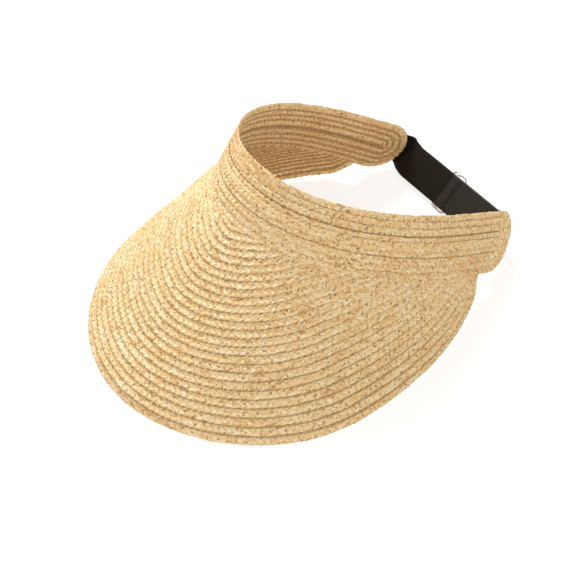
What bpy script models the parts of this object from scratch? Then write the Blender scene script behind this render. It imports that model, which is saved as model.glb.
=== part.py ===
"""Sun visor of sewn raffia braid with an adjustable elastic strap.

The brim is a stack of separate lengths of flat braid, each lapped over the next outer
one and cut where it meets the headband, a racetrack coil of the same braid.  An
elastic strap closes the back: it runs through a wire slide adjuster, round a wire ring
and back to the adjuster's centre bar.  Metres, +Z up, the wearer looks towards -Y.
"""
from math import ceil, comb, cos, pi, radians, sin, sqrt

import bmesh
import bpy
from mathutils import Vector

MM = 0.001
UP = Vector((0.0, 0.0, 1.0))

# Braid -----------------------------------------------------------------------
BRAID_WIDTH = 6.8 * MM
BRAID_THICKNESS = 0.9 * MM
LAP_GAP = 0.4 * MM

# Headband: its middle line starts at the front and runs down to the rear end --
BAND_HALF_LENGTH = 237.0 * MM
BAND_HEIGHT = 42.3 * MM
BAND_LOOPS = 4
BAND_FRONT_Y = -91.0 * MM
BAND_FRONT_Z = 109.5 * MM
BAND_BEND = (15.1, 14.7, 2.3, -1.2)
BAND_FALL = (0.0, 0.53, 0.567, 0.57)
BAND_LEAN = (radians(33.4), radians(13.7), radians(7.6))

# Brim: a half superellipse in front of its widest line, an ellipse behind it ---
BRIM_ROWS = 26
BRIM_HALF_WIDTH = 109.4 * MM
BRIM_FRONT_LENGTH = 104.3 * MM
BRIM_REAR_LENGTH = 164.0 * MM
BRIM_WIDEST_Y = -89.0 * MM
BRIM_ROUNDNESS = 1.91
BRIM_LIFT_ANGLE = radians(109.0)
BRIM_LIFT_HEIGHT = 3.9 * MM
BRIM_BOW_FRONT = 0.8 * MM
BRIM_BOW_SIDE = 9.0 * MM
BRIM_BOW_SPAN = 122.3 * MM
TUCK_DEPTH = 0.5 * MM
TUCK_GAP = 1.3 * MM
ROW_END_WIDTH = 1.5 * MM

# Elastic strap ------------------------------------------------------------------
STRAP_WIDTH = 24.0 * MM
STRAP_THICKNESS = 0.9 * MM
STRAP_TILT = radians(48.0)
STRAP_BEHIND_END = -2.2 * MM
STRAP_ABOVE_END = 0.6 * MM
STRAP_SEWN_LENGTH = 18.0 * MM
SEWN_END_MARGIN = 2.0 * MM
SEWN_HEIGHT = 1.8 * MM
SEWN_GAP = 0.5 * MM
STRAP_TURN = 14.0 * MM
STRAP_TURN_REACH = 15.4 * MM
STRAP_TURN_BULGE = 4.0 * MM
STRAP_LEAVE_REACH = 6.4 * MM
TAB_WIDTH = 20.0 * MM
TAB_SEWN_LENGTH = 16.0 * MM
TAB_OUTER_TURN = 5.0 * MM
TAB_INNER_TURN = 8.5 * MM
TAB_INNER_REACH = 2.5 * MM

# Wire ring and slide adjuster ------------------------------------------------------
WIRE_RADIUS = 0.65 * MM
RING_LENGTH = 8.0 * MM
RING_TO_BAND = 9.5 * MM
RING_CLEARANCE = 0.6 * MM
RING_CORNER = 2.0 * MM
ADJUSTER_LENGTH = 13.0 * MM
ADJUSTER_CORNER = 3.9 * MM
ADJUSTER_TO_RING = 42.0 * MM
ADJUSTER_PINCH = 0.9 * MM
LAYER_GAP = 0.35 * MM
FOLD_LENGTH = 7.0 * MM

# Stitching ----------------------------------------------------------------------------
TACK_LENGTH = 1.6 * MM
TACK_THICKNESS = 0.4 * MM
TACK_MARGIN = 2.0 * MM
TOUCH_GAP = 0.3 * MM

# Mesh fineness ------------------------------------------------------------------------
CURVE_STEPS = 240
BRIM_STEP = 15.0 * MM
FINE_STEPS = 3
BAND_STEP = 13.0 * MM
TURN_STEPS = 8
TAIL_STEPS = 2
WIRE_SIDES_RESOLUTION = 2


# --------------------------------------------------------------------------------------
# Small helpers
# --------------------------------------------------------------------------------------
def bezier(values, t):
    """Value at t of the Bezier curve through the given control values."""
    n = len(values) - 1
    total = values[0] * 0.0
    for i, value in enumerate(values):
        total += value * (comb(n, i) * (1 - t) ** (n - i) * t ** i)
    return total


def mirrored(point):
    return Vector((-point.x, point.y, point.z))


def make_material(name, colour, roughness, metallic=0.0):
    material = bpy.data.materials.new(name)
    material.use_nodes = True
    shader = material.node_tree.nodes["Principled BSDF"]
    shader.inputs["Base Color"].default_value = (*colour, 1.0)
    shader.inputs["Roughness"].default_value = roughness
    shader.inputs["Metallic"].default_value = metallic
    return material


def add_object(name, bm, material):
    """Make the closed mesh in bm an object of its own."""
    bmesh.ops.recalc_face_normals(bm, faces=bm.faces)
    mesh = bpy.data.meshes.new(name)
    bm.to_mesh(mesh)
    bm.free()
    mesh.materials.append(material)
    obj = bpy.data.objects.new(name, mesh)
    bpy.context.collection.objects.link(obj)
    return obj


def sweep(name, sections, material):
    """Extrude the first section's face through all the later ones."""
    bm = bmesh.new()
    start = bm.faces.new([bm.verts.new(point) for point in sections[0]])
    end = start
    for section in sections[1:]:
        grown = bmesh.ops.extrude_face_region(bm, geom=[end])["geom"]
        if end is not start:
            bm.faces.remove(end)
        end = [item for item in grown if isinstance(item, bmesh.types.BMFace)][0]
        for vert, point in zip(end.verts, section):
            vert.co = point
    return add_object(name, bm, material)


def flat_section(centre, across, normal, width, thickness):
    """Four corners of a ribbon's section: lower edge first, then round its far side."""
    side = across * (width / 2)
    skin = normal * (thickness / 2)
    return [centre - side - skin, centre - side + skin, centre + side + skin, centre + side - skin]


# --------------------------------------------------------------------------------------
# Headband surface
# --------------------------------------------------------------------------------------
class HeadbandSurface:
    """The band's inner face, addressed by length from the front and height from its middle."""

    def __init__(self):
        self.step = BAND_HALF_LENGTH / CURVE_STEPS
        self.frames = []
        place = Vector((0.0, BAND_FRONT_Y, BAND_FRONT_Z))
        angle = 0.0
        for i in range(CURVE_STEPS + 1):
            t = i / CURVE_STEPS
            fall = bezier(BAND_FALL, t)
            level = sqrt(1 - fall ** 2)
            along = Vector((cos(angle) * level, sin(angle) * level, -fall))
            outward = Vector((sin(angle), -cos(angle), 0.0))
            upright = outward.cross(along)
            if upright.z < 0:
                upright.negate()
            lean = bezier(BAND_LEAN, t)
            across = upright * cos(lean) - outward * sin(lean)
            face = outward * cos(lean) + upright * sin(lean)
            self.frames.append((place.copy(), along, across, face))
            place += along * self.step
            angle += bezier(BAND_BEND, (i + 0.5) / CURVE_STEPS) * self.step

    def frame(self, s):
        """Middle-line point and the along, across and outward directions at length s >= 0."""
        position = min(max(s / self.step, 0.0), CURVE_STEPS - 1e-6)
        i = int(position)
        share = position - i
        mixed = [a.lerp(b, share) for a, b in zip(self.frames[i], self.frames[i + 1])]
        mixed[0] += mixed[1] * (s - min(max(s, 0.0), BAND_HALF_LENGTH))
        return mixed

    def point(self, s, height, depth):
        """Point at signed length s, height above the middle and depth outwards."""
        place, _, across, face = self.frame(abs(s))
        place = place + across * height + face * depth
        return mirrored(place) if s < 0 else place


# --------------------------------------------------------------------------------------
# Headband braid
# --------------------------------------------------------------------------------------
LOOP_PITCH = (BAND_HEIGHT - BRAID_WIDTH) / 2 / BAND_LOOPS
LOOP_RISE = (BRAID_THICKNESS + LAP_GAP) * BRAID_WIDTH / LOOP_PITCH
BAND_DEPTH = LOOP_RISE + BRAID_THICKNESS
END_CENTRE = BAND_HALF_LENGTH - BAND_HEIGHT / 2


def braid_section(surface, s, height, turn, rise):
    """Section of the band's braid; turn is the direction away from the centre row."""
    away_s = cos(turn) * BRAID_WIDTH / 2
    away_h = sin(turn) * BRAID_WIDTH / 2
    corners = []
    for side, depth in ((-1, 0.0), (-1, BRAID_THICKNESS), (1, rise + BRAID_THICKNESS), (1, rise)):
        corners.append(surface.point(s + side * away_s, height + side * away_h, depth - BAND_DEPTH))
    return corners


def band_centre_row(surface, material):
    """The braid's first straight length, flat on top of the loops on both of its sides."""
    steps = ceil(2 * END_CENTRE / BAND_STEP)
    sections = []
    for i in range(steps + 1):
        s = END_CENTRE * (1 - 2 * i / steps)
        corners = []
        for side, skin in ((-1, 0.0), (-1, 1.0), (1, 1.0), (1, 0.0)):
            depth = LOOP_RISE + BRAID_THICKNESS * skin - BAND_DEPTH
            corners.append(surface.point(s, side * BRAID_WIDTH / 2, depth))
        sections.append(corners)
    return sweep("band_centre_row", sections, material)


def band_coil(surface, material):
    """The loops round the centre row, one spiral that steps outwards at the -X rear end."""
    first = LOOP_PITCH
    straight = ceil(2 * END_CENTRE / BAND_STEP)
    sections = []

    def add_run(height, sign, start, end):
        for i in range(start, end):
            s = sign * END_CENTRE * (1 - 2 * i / straight)
            turn = pi / 2 if height > 0 else -pi / 2
            sections.append(braid_section(surface, s, height, turn, LOOP_RISE))

    def add_turn(side, radius_from, radius_to, upwards, last=TURN_STEPS):
        for i in range(last + 1):
            share = i / TURN_STEPS
            angle = (share - 0.5) * pi if upwards else (0.5 - share) * pi
            radius = radius_from + (radius_to - radius_from) * share
            s = side * (END_CENTRE + radius * cos(angle))
            turn = angle if side > 0 else pi - angle
            sections.append(braid_section(surface, s, radius * sin(angle), turn, LOOP_RISE))

    for loop in range(BAND_LOOPS):
        radius = first + loop * LOOP_PITCH
        add_run(radius, -1, 1, straight)
        add_turn(1, radius, radius, False)
        add_run(-radius, 1, 1, straight)
        is_tail = loop == BAND_LOOPS - 1
        add_turn(-1, radius, radius + LOOP_PITCH, True, TAIL_STEPS if is_tail else TURN_STEPS)
    return sweep("band_coil", sections, material)


# --------------------------------------------------------------------------------------
# Brim surface: a straight line, slightly bowed, from each edge point to the tuck line,
# which runs just inside the band's lower edge
# --------------------------------------------------------------------------------------
class BrimSurface:
    def __init__(self, band):
        self.tuck = self.tuck_line(band)
        self.attach_angle = self.find_attach()
        angles = self.even_angles()
        self.rulings = [self.ruling(angle) for angle in angles]

    def tuck_line(self, band):
        """Where the brim's rows are cut, behind the band's lower edge."""
        height = TUCK_DEPTH - BAND_HEIGHT / 2
        depth = -BAND_DEPTH - BRAID_THICKNESS - TUCK_GAP
        steps = range(-CURVE_STEPS, CURVE_STEPS + 1)
        return [band.point(BAND_HALF_LENGTH * i / CURVE_STEPS, height, depth) for i in steps]

    def edge_plan(self, angle):
        """Plan point of the outer edge at an angle from the front."""
        if abs(angle) <= pi / 2:
            power = 2 / BRIM_ROUNDNESS
            x = BRIM_HALF_WIDTH * abs(sin(angle)) ** power
            y = BRIM_WIDEST_Y - BRIM_FRONT_LENGTH * abs(cos(angle)) ** power
        else:
            x = BRIM_HALF_WIDTH * abs(sin(angle))
            y = BRIM_WIDEST_Y - BRIM_REAR_LENGTH * cos(angle)
        return Vector((x if angle >= 0 else -x, y, 0.0))

    def edge_inward(self, angle):
        """Unit plan direction from the edge towards the head."""
        step = radians(0.5)
        along = self.edge_plan(angle + step) - self.edge_plan(angle - step)
        return Vector((-along.y, along.x, 0.0)).normalized()

    def meet_tuck(self, start, direction):
        """Signed reach to the nearest point of the tuck line on a plan line, and the point."""
        nearest = None
        for a, b in zip(self.tuck, self.tuck[1:]):
            side = b - a
            gap = a - start
            cross = direction.x * side.y - direction.y * side.x
            if abs(cross) < 1e-12:
                continue
            reach = (gap.x * side.y - gap.y * side.x) / cross
            share = (gap.x * direction.y - gap.y * direction.x) / cross
            if 0 <= share <= 1 and (nearest is None or abs(reach) < abs(nearest[0])):
                nearest = (reach, a + side * share)
        return nearest

    def find_attach(self):
        """Edge angle at which the edge runs in under the band."""
        angle = pi / 2
        step = radians(1)
        while step > 1e-5:
            following = angle + step
            met = self.meet_tuck(self.edge_plan(following), self.edge_inward(following))
            if met is None or met[0] < 0:
                step /= 2
            else:
                angle = following
        return angle

    def even_angles(self):
        """Edge angles from -X to +X, about one step of edge length apart."""
        fine = 400
        last = self.attach_angle * 0.999
        angles = [last * i / fine for i in range(fine + 1)]
        lengths = [0.0]
        for a, b in zip(angles, angles[1:]):
            lengths.append(lengths[-1] + (self.edge_plan(b) - self.edge_plan(a)).length)
        steps = ceil(lengths[-1] / BRIM_STEP)
        halves = [2 * i for i in range(1, steps - FINE_STEPS)]
        halves += list(range(2 * (steps - FINE_STEPS), 2 * steps + 1))
        right = []
        for half in halves:
            wanted = lengths[-1] * half / (2 * steps)
            index = next(j for j, length in enumerate(lengths) if length >= wanted - 1e-9)
            right.append(angles[index])
        return [-angle for angle in reversed(right)] + [0.0] + right

    def ruling(self, angle):
        """Edge point, vector to the tuck line, bow and edge direction at an angle."""
        edge = self.edge_plan(angle)
        inward = self.edge_inward(angle)
        _, tuck = self.meet_tuck(edge, inward)
        lift = max(0.0, (abs(angle) - BRIM_LIFT_ANGLE) / (self.attach_angle - BRIM_LIFT_ANGLE))
        edge.z = BRIM_LIFT_HEIGHT * lift ** 2
        span = tuck - edge
        bow = BRIM_BOW_FRONT + (BRIM_BOW_SIDE - BRIM_BOW_FRONT) * sin(angle) ** 2
        bow *= span.length / BRIM_BOW_SPAN
        along = Vector((inward.y, -inward.x, 0.0))
        return edge, span, bow, along

    def point(self, ruling, distance):
        """Surface point at a distance from the edge, and its normal."""
        edge, span, bow, along = ruling
        t = distance / span.length
        rise = 4 * bow * t * (1 - t) if t < 1 else -4 * bow * (t - 1)
        slope = 4 * bow * (1 - 2 * min(t, 1.0))
        place = edge + span * t + UP * rise
        inward = (span + UP * slope).normalized()
        normal = along.cross(inward)
        if normal.z < 0:
            normal.negate()
        return place, normal.normalized()


def mix_rulings(a, b, share):
    return tuple(x + (y - x) * share for x, y in zip(a, b))


def brim_rows(surface, material):
    """Each row lies at an equal distance from the edge and is cut along the tuck line."""
    front = surface.rulings[len(surface.rulings) // 2][1].length
    pitch = (front - TUCK_DEPTH) / BRIM_ROWS
    rise = (BRAID_THICKNESS + LAP_GAP) * BRAID_WIDTH / pitch
    for row in range(BRIM_ROWS):
        outer = row * pitch
        stations = cut_stations(surface.rulings, outer)
        sections = [row_section(surface, station, outer, rise if row else 0.0) for station in stations]
        sweep(f"brim_row_{row + 1:02d}", sections, material)


def cut_stations(rulings, outer):
    """The rulings that reach a row, with exact ones where its cut starts and where it ends."""
    lengths = [ruling[1].length for ruling in rulings]
    cuts = (outer + ROW_END_WIDTH, outer + BRAID_WIDTH)
    stations = []
    for i, ruling in enumerate(rulings):
        if lengths[i] >= cuts[0]:
            stations.append(ruling)
        if i + 1 == len(rulings):
            break
        step = lengths[i + 1] - lengths[i]
        crossed = [cut for cut in cuts if (cut - lengths[i]) * (cut - lengths[i + 1]) < 0]
        for cut in sorted(crossed, reverse=step < 0):
            stations.append(mix_rulings(ruling, rulings[i + 1], (cut - lengths[i]) / step))
    return stations


def row_section(surface, ruling, outer, rise):
    """Section of a brim row, raised at its outer edge; the edge row lies flat and is cut level."""
    width = min(BRAID_WIDTH, ruling[1].length - outer)
    low, normal = surface.point(ruling, outer)
    inner_low, inner_normal = surface.point(ruling, outer + width)
    inner_low += inner_normal * (rise * (1 - width / BRAID_WIDTH))
    outer_low = low + normal * rise
    outer_top = outer_low + normal * BRAID_THICKNESS
    inner_top = inner_low + inner_normal * BRAID_THICKNESS
    if outer == 0:
        outer_top = cut_level(outer_top, inner_top, low.z)
    return [outer_low, outer_top, inner_top, inner_low]


def cut_level(start, towards, height):
    """Point at the given height on the line through both points."""
    slope = start - towards
    return start + slope * ((height - start.z) / slope.z)


# --------------------------------------------------------------------------------------
# Elastic strap, in its own directions: along the strap, across it and out of its face
# --------------------------------------------------------------------------------------
ALONG = Vector((1.0, 0.0, 0.0))
ACROSS = Vector((0.0, sin(STRAP_TILT), cos(STRAP_TILT)))
FACE = ALONG.cross(ACROSS)
FRONT_LAYER = 2 * (STRAP_THICKNESS + LAYER_GAP + WIRE_RADIUS) + LAYER_GAP
RING_BAR_DEPTH = FRONT_LAYER / 2
CENTRE_BAR_DEPTH = FRONT_LAYER - STRAP_THICKNESS / 2 - LAYER_GAP - WIRE_RADIUS
SIDE_BAR_DEPTH = -(STRAP_THICKNESS / 2 + LAYER_GAP + WIRE_RADIUS)


class StrapLine:
    """Straight middle line of the strap between the band's two rear ends."""

    def __init__(self, band):
        end, _, _, _ = band.frame(BAND_HALF_LENGTH)
        self.end_x = end.x
        self.origin = Vector((0.0, end.y + STRAP_BEHIND_END, end.z + STRAP_ABOVE_END))
        self.ring_tab_x = end.x - RING_TO_BAND
        self.ring_strap_x = self.ring_tab_x - RING_LENGTH
        self.adjuster_x = self.ring_strap_x - ADJUSTER_TO_RING

    def point(self, x, depth=0.0):
        return self.origin + ALONG * x + FACE * depth


def ribbon(name, stations, material, width=STRAP_WIDTH):
    """Ribbon through stations of (centre, across, normal)."""
    sections = []
    for centre, across, normal in stations:
        sections.append(flat_section(centre, across, normal, width, STRAP_THICKNESS))
    return sweep(name, sections, material)


def curve_stations(places, acrosses, steps):
    """Stations on the Bezier curve through control places and width directions."""
    stations = []
    for i in range(steps + 1):
        t = i / steps
        nudge = 1e-4
        tangent = bezier(places, min(t + nudge, 1.0)) - bezier(places, max(t - nudge, 0.0))
        across = bezier(acrosses, t)
        across -= tangent * (across.dot(tangent) / tangent.length_squared)
        across.normalize()
        normal = tangent.normalized().cross(across)
        stations.append((bezier(places, t), across, normal))
    return stations


def half_turn(line, x, depth, radius, towards, start, end):
    """Stations of a loop round a bar, from start to end of its angle, in degrees."""
    stations = []
    for i in range(TURN_STEPS + 1):
        angle = radians(start + (end - start) * i / TURN_STEPS)
        normal = ALONG * (towards * cos(angle)) + FACE * sin(angle)
        stations.append((line.point(x, depth) + normal * radius, ACROSS, normal))
    return stations


def elastic_strap(band, line, material):
    """From the -X end's outer face, round that end, and straight to the ring's bar."""
    skin = SEWN_GAP + STRAP_THICKNESS / 2
    stations = []
    sewn_steps = 4
    sewn_end = BAND_HALF_LENGTH - SEWN_END_MARGIN
    for i in range(sewn_steps + 1):
        s = sewn_end - STRAP_SEWN_LENGTH * (1 - i / sewn_steps)
        _, _, across, face = band.frame(s)
        centre = band.point(-s, SEWN_HEIGHT, skin)
        stations.append((centre, mirrored(across), mirrored(face)))
    leave, across, _ = stations[-1]
    _, along, _, _ = band.frame(BAND_HALF_LENGTH)
    turn_end = line.point(-line.end_x + STRAP_TURN)
    control = [
        leave,
        leave + mirrored(along) * STRAP_LEAVE_REACH,
        turn_end - ALONG * STRAP_TURN_REACH + Vector((0.0, STRAP_TURN_BULGE, 0.0)),
        turn_end,
    ]
    stations += curve_stations(control, [across, across, ACROSS, ACROSS], 12)[1:]
    straight_steps = 6
    for i in range(1, straight_steps + 1):
        x = turn_end.x + (line.ring_strap_x - turn_end.x) * i / straight_steps
        stations.append((line.point(x), ACROSS, -FACE))
    stations += half_turn(line, line.ring_strap_x, RING_BAR_DEPTH, RING_BAR_DEPTH, 1, -90, 90)[1:]
    return ribbon("elastic_strap", same_side(stations), material)


def same_side(stations):
    """The stations with every normal on the side of the ribbon that the first one is on."""
    turned = stations[:1]
    for centre, across, normal in stations[1:]:
        if normal.dot(turned[-1][2]) < 0:
            normal = -normal
        turned.append((centre, across, normal))
    return turned


def strap_return_run(line, material):
    """The strap's second layer, from the wrap at the ring back to the folded end."""
    start = line.ring_strap_x - TOUCH_GAP
    end = line.adjuster_x + FOLD_LENGTH + TOUCH_GAP
    stations = [(line.point(x, FRONT_LAYER), ACROSS, FACE) for x in (start, end)]
    return ribbon("strap_return_run", stations, material)


def strap_folded_end(line, material):
    """The strap's end, folded round the adjuster's centre bar."""
    radius = WIRE_RADIUS + LAYER_GAP + STRAP_THICKNESS / 2
    x = line.adjuster_x
    stations = [(line.point(x + FOLD_LENGTH, FRONT_LAYER), ACROSS, FACE)]
    stations += half_turn(line, x, CENTRE_BAR_DEPTH, radius, -1, 90, -90)
    stations.append((line.point(x + FOLD_LENGTH, CENTRE_BAR_DEPTH - radius), ACROSS, -FACE))
    return ribbon("strap_folded_end", stations, material)


def ring_tab(band, line, material):
    """A doubled piece of elastic round the ring's other bar, sewn inside the +X end."""
    x = line.ring_tab_x
    sewn_s = BAND_HALF_LENGTH - TAB_SEWN_LENGTH
    outer_skin = SEWN_GAP + STRAP_THICKNESS / 2
    inner_skin = outer_skin + STRAP_THICKNESS + TOUCH_GAP
    outer = (outer_skin, 0.0, TAB_OUTER_TURN, TAB_OUTER_TURN)
    inner = (inner_skin, FRONT_LAYER, TAB_INNER_TURN, TAB_INNER_REACH)
    legs = []
    for skin, depth, turn, reach in (outer, inner):
        leg = []
        for i in range(4):
            s = sewn_s + (TAB_SEWN_LENGTH - turn) * i / 3
            _, along, across, face = band.frame(s)
            centre = band.point(s, SEWN_HEIGHT, -BAND_DEPTH - skin)
            leg.append((centre, across, -face))
        start = leg[-1][0]
        finish = line.point(x + WIRE_RADIUS, depth)
        control = [start, start + along * reach, finish + ALONG * reach, finish]
        leg += curve_stations(control, [leg[-1][1], leg[-1][1], ACROSS, ACROSS], 6)[1:]
        legs.append(leg)
    wrap = half_turn(line, x, RING_BAR_DEPTH, RING_BAR_DEPTH, -1, -90, 90)
    stations = legs[0] + wrap + legs[1][::-1]
    return ribbon("ring_tab", same_side(stations), material, TAB_WIDTH)


# --------------------------------------------------------------------------------------
# Wire parts
# --------------------------------------------------------------------------------------
def wire_loop(name, points, material):
    """Closed wire loop through the points."""
    curve = bpy.data.curves.new(name, "CURVE")
    curve.dimensions = "3D"
    spline = curve.splines.new("POLY")
    spline.points.add(len(points) - 1)
    for slot, point in zip(spline.points, points):
        slot.co = (*point, 1.0)
    spline.use_cyclic_u = True
    curve.bevel_depth = WIRE_RADIUS
    curve.bevel_resolution = WIRE_SIDES_RESOLUTION
    curve.materials.append(material)
    obj = bpy.data.objects.new(name, curve)
    bpy.context.collection.objects.link(obj)
    return obj


def as_mesh_object(obj):
    """Replace a curve object by its mesh."""
    bpy.context.view_layer.update()
    graph = bpy.context.evaluated_depsgraph_get()
    mesh = bpy.data.meshes.new_from_object(obj.evaluated_get(graph))
    name = obj.name
    bpy.data.objects.remove(obj)
    mesh.name = name
    solid = bpy.data.objects.new(name, mesh)
    bpy.context.collection.objects.link(solid)
    mesh.shade_smooth()
    mesh.set_sharp_from_angle(angle=radians(50))
    return solid


def rounded_rectangle(half_x, half_w, corner, corner_steps, side_steps=0):
    """Outline points (x, w) with round corners; side_steps more on the sides along x."""
    flat = half_x - corner
    outline = []
    for quarter in range(4):
        sign_x = 1 if quarter in (0, 3) else -1
        sign_w = 1 if quarter in (0, 1) else -1
        for i in range(corner_steps + 1):
            angle = (quarter + i / corner_steps) * pi / 2
            x = sign_x * flat + corner * cos(angle)
            outline.append((x, sign_w * (half_w - corner) + corner * sin(angle)))
        if quarter in (0, 2):
            for i in range(1, side_steps):
                outline.append((sign_x * flat * (1 - 2 * i / side_steps), sign_w * half_w))
    return outline


def strap_ring(line, material):
    half_w = STRAP_WIDTH / 2 + RING_CLEARANCE + WIRE_RADIUS
    middle = (line.ring_tab_x + line.ring_strap_x) / 2
    points = []
    for x, w in rounded_rectangle(RING_LENGTH / 2, half_w, RING_CORNER, 4):
        points.append(line.point(middle + x, RING_BAR_DEPTH) + ACROSS * w)
    return as_mesh_object(wire_loop("strap_ring", points, material))


def slide_adjuster(line, material):
    """A loop behind the strap whose long sides rise to the centre bar in front of it."""
    bar_half_w = STRAP_WIDTH / 2 + RING_CLEARANCE + WIRE_RADIUS
    half_w = bar_half_w + ADJUSTER_PINCH
    half_x = ADJUSTER_LENGTH / 2
    flat = half_x - ADJUSTER_CORNER
    points = []
    for x, w in rounded_rectangle(half_x, half_w, ADJUSTER_CORNER, 5, 8):
        hump = cos(pi / 2 * x / flat) ** 2 if abs(x) < flat else 0.0
        place = line.point(line.adjuster_x + x, SIDE_BAR_DEPTH)
        place += FACE * (hump * (CENTRE_BAR_DEPTH - SIDE_BAR_DEPTH))
        points.append(place + ACROSS * (w - hump * (ADJUSTER_PINCH if w > 0 else -ADJUSTER_PINCH)))
    frame = as_mesh_object(wire_loop("slide_adjuster", points, material))
    union = frame.modifiers.new("centre bar", "BOOLEAN")
    union.operation = "UNION"
    union.solver = "EXACT"
    union.object = centre_bar(line, bar_half_w)
    return frame


def centre_bar(line, half_w):
    """Guide solid: the bar that the adjuster's Boolean adds."""
    bm = bmesh.new()
    bmesh.ops.create_cone(
        bm, cap_ends=True, segments=12, radius1=WIRE_RADIUS, radius2=WIRE_RADIUS, depth=2 * half_w
    )
    turn = UP.rotation_difference(ACROSS)
    bmesh.ops.rotate(bm, verts=bm.verts, matrix=turn.to_matrix())
    bmesh.ops.translate(bm, verts=bm.verts, vec=line.point(line.adjuster_x, CENTRE_BAR_DEPTH))
    mesh = bpy.data.meshes.new("centre_bar_guide")
    bm.to_mesh(mesh)
    bm.free()
    bar = bpy.data.objects.new("centre_bar_guide", mesh)
    bpy.context.collection.objects.link(bar)
    bar.hide_render = True
    bar.display_type = "WIRE"
    return bar


# --------------------------------------------------------------------------------------
# Stitching: one flat bar of thread where each end of the elastic is sewn down
# --------------------------------------------------------------------------------------
def tack(name, centre, along, across, normal, material, width=STRAP_WIDTH):
    """A bar of stitches across the elastic, lying on its face."""
    lifted = centre + normal * (STRAP_THICKNESS / 2 + TOUCH_GAP + TACK_THICKNESS / 2)
    sections = []
    for side in (-1, 1):
        middle = lifted + across * (side * (width / 2 - TACK_MARGIN))
        sections.append(flat_section(middle, along, normal, TACK_LENGTH, TACK_THICKNESS))
    return sweep(name, sections, material)


def tacks(band, line, material):
    seam_x = line.adjuster_x + FOLD_LENGTH - TACK_LENGTH
    tack("tack_folded_end", line.point(seam_x, FRONT_LAYER), ALONG, ACROSS, FACE, material)
    skin = SEWN_GAP + STRAP_THICKNESS / 2
    s = BAND_HALF_LENGTH - SEWN_END_MARGIN - STRAP_SEWN_LENGTH / 2
    _, along, across, face = (mirrored(part) for part in band.frame(s))
    centre = band.point(-s, SEWN_HEIGHT, skin)
    tack("tack_strap_end", centre, along, across, face, material)
    s = BAND_HALF_LENGTH - TAB_OUTER_TURN - TAB_SEWN_LENGTH / 2
    _, along, across, face = band.frame(s)
    depth = -BAND_DEPTH - skin - STRAP_THICKNESS - TOUCH_GAP
    centre = band.point(s, SEWN_HEIGHT, depth)
    tack("tack_ring_tab", centre, along, across, -face, material, TAB_WIDTH)


# --------------------------------------------------------------------------------------
# Assembly
# --------------------------------------------------------------------------------------
def clear_scene():
    for obj in list(bpy.data.objects):
        bpy.data.objects.remove(obj)


def set_on_origin():
    """Move every mesh so that the whole object's bottom centre is the origin."""
    bpy.context.view_layer.update()
    graph = bpy.context.evaluated_depsgraph_get()
    corners = []
    for obj in bpy.data.objects:
        if not obj.hide_render:
            corners += [Vector(corner) for corner in obj.evaluated_get(graph).bound_box]
    low = Vector(min(corner[i] for corner in corners) for i in range(3))
    high = Vector(max(corner[i] for corner in corners) for i in range(3))
    shift = Vector((-(low.x + high.x) / 2, -(low.y + high.y) / 2, -low.z))
    for obj in bpy.data.objects:
        for vert in obj.data.vertices:
            vert.co += shift
    return shift


def put_origin(obj, place):
    """Set an object's origin on its joint's axis."""
    for vert in obj.data.vertices:
        vert.co -= place
    obj.location = place


def build():
    clear_scene()
    raffia = make_material("raffia", (0.72, 0.52, 0.28), 0.7)
    elastic = make_material("black elastic", (0.02, 0.02, 0.02), 0.6)
    ribbed = make_material("black ribbed elastic", (0.03, 0.03, 0.03), 0.8)
    steel = make_material("bright wire", (0.85, 0.85, 0.85), 0.2, 1.0)
    thread = make_material("black thread", (0.03, 0.03, 0.03), 0.7)
    band = HeadbandSurface()
    line = StrapLine(band)
    brim_rows(BrimSurface(band), raffia)
    band_centre_row(band, raffia)
    band_coil(band, raffia)
    elastic_strap(band, line, elastic)
    strap_return_run(line, ribbed)
    folded_end = strap_folded_end(line, ribbed)
    ring_tab(band, line, elastic)
    ring = strap_ring(line, steel)
    adjuster = slide_adjuster(line, steel)
    tacks(band, line, thread)
    shift = set_on_origin()
    adjuster_place = line.point(line.adjuster_x, CENTRE_BAR_DEPTH) + shift
    for obj in (adjuster, folded_end, bpy.data.objects["tack_folded_end"]):
        put_origin(obj, adjuster_place)
    put_origin(bpy.data.objects["centre_bar_guide"], adjuster_place)
    put_origin(ring, line.point(line.ring_tab_x, RING_BAR_DEPTH) + shift)


build()
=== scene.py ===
from math import ceil, comb, cos, pi, radians, sin, sqrt

import bmesh
import bpy
import numpy as np
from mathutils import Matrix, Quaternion, Vector


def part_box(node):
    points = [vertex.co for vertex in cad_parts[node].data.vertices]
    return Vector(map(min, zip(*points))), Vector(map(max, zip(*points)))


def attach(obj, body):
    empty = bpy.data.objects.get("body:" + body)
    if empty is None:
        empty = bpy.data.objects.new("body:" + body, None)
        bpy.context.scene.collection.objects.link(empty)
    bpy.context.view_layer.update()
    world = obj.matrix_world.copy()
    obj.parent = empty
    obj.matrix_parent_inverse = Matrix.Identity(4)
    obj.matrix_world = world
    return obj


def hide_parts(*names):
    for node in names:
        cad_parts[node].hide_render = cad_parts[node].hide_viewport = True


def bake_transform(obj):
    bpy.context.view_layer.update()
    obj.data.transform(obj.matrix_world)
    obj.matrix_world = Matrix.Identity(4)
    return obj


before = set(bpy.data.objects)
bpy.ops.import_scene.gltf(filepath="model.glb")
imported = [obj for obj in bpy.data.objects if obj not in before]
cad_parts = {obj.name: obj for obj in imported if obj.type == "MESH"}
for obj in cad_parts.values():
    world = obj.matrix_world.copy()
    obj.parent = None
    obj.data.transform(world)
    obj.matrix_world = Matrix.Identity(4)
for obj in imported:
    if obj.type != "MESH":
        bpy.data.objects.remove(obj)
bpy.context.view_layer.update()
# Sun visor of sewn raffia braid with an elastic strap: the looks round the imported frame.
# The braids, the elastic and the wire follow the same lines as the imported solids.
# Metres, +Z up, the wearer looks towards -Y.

MM = 0.001
UP = Vector((0.0, 0.0, 1.0))

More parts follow.
